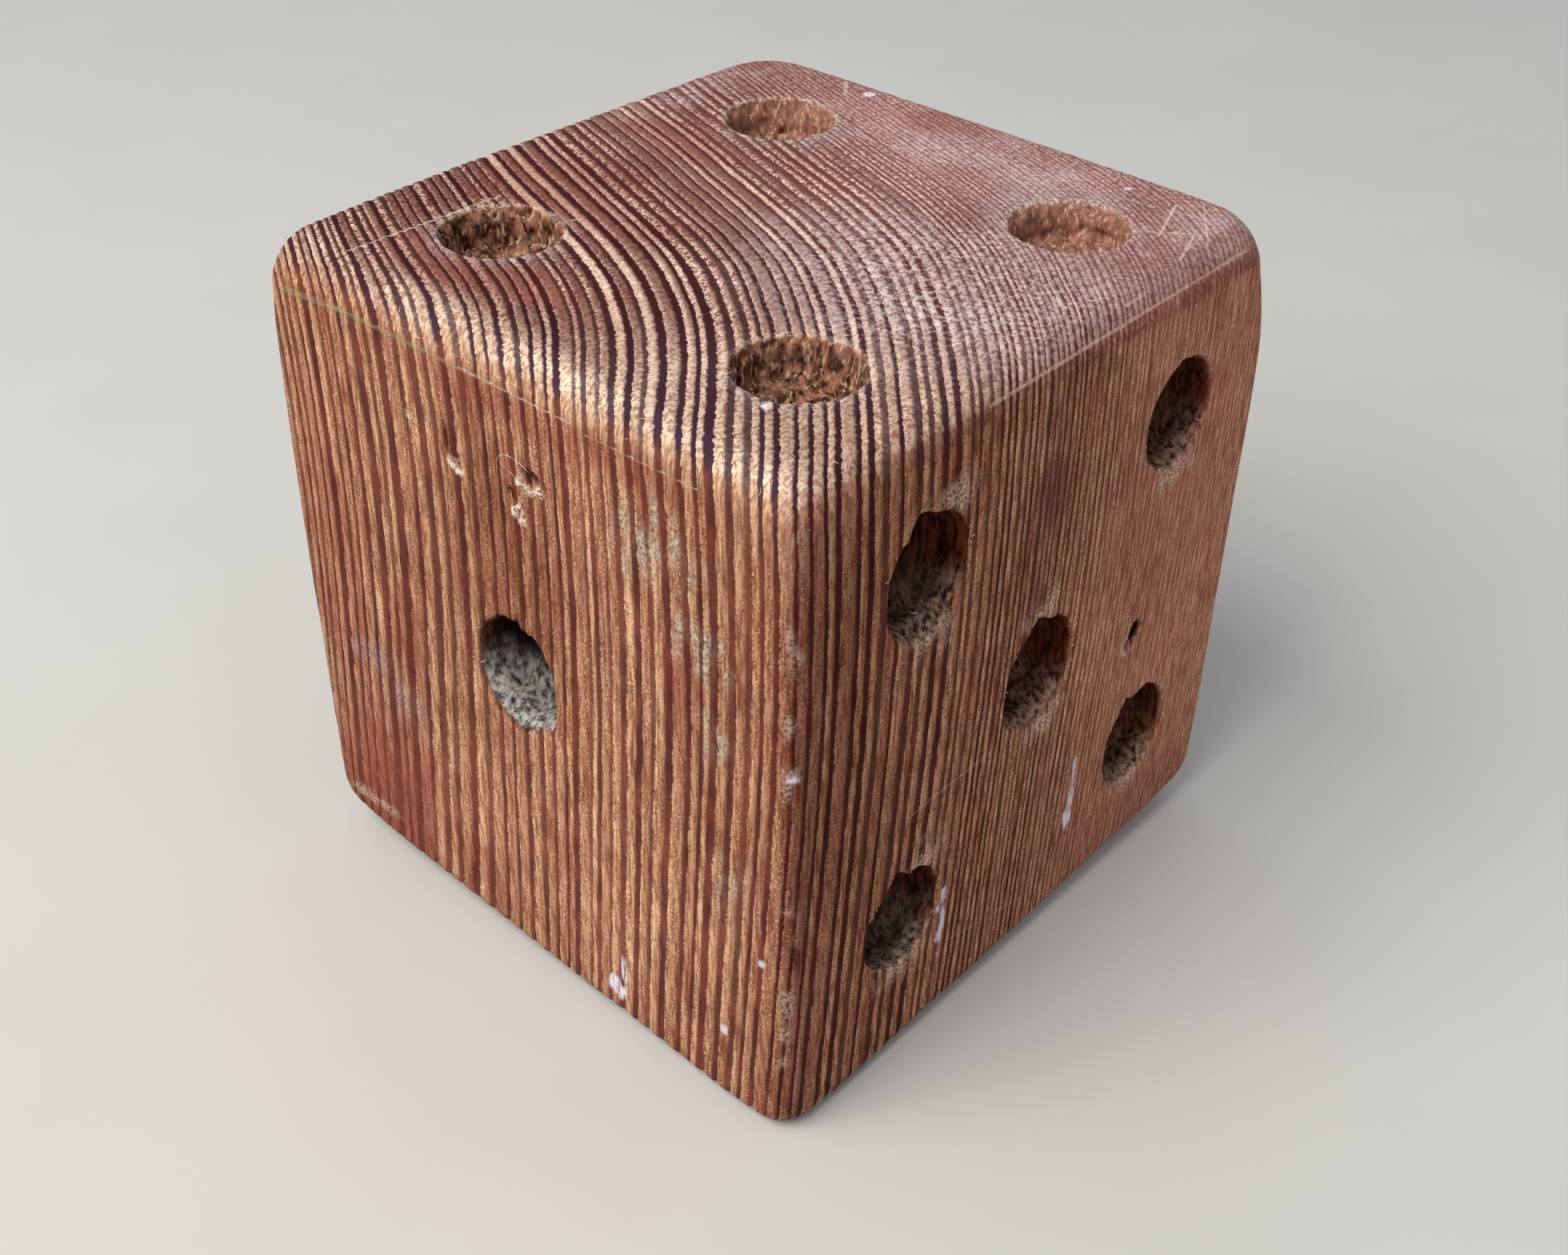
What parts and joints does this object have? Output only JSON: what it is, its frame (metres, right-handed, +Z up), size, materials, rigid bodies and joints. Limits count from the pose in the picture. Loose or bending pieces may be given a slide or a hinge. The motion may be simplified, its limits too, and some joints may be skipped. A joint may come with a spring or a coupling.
{
  "type": "wooden die",
  "caption": "Large rustic die: a square block of dark-ringed old softwood with eased edges, worn corners and shallow drilled round pips on every face.",
  "frame": {"origin": "middle of the face the die rests on, the one with three pips (bottom centre of the bounding box)", "axes": "+Z up and along the grain, towards the face with four pips; -X towards the face with one pip; -Y towards the face with five pips"},
  "size_m": [0.089, 0.0866, 0.0912],
  "materials": {
    "old_softwood": "bare, dry and worn, with raised rings; reddish brown with dark late-wood lines, grey-brown in the pips"
  },
  "bodies": {
    "root": {"die_block": "old_softwood"}
  },
  "joints": []
}
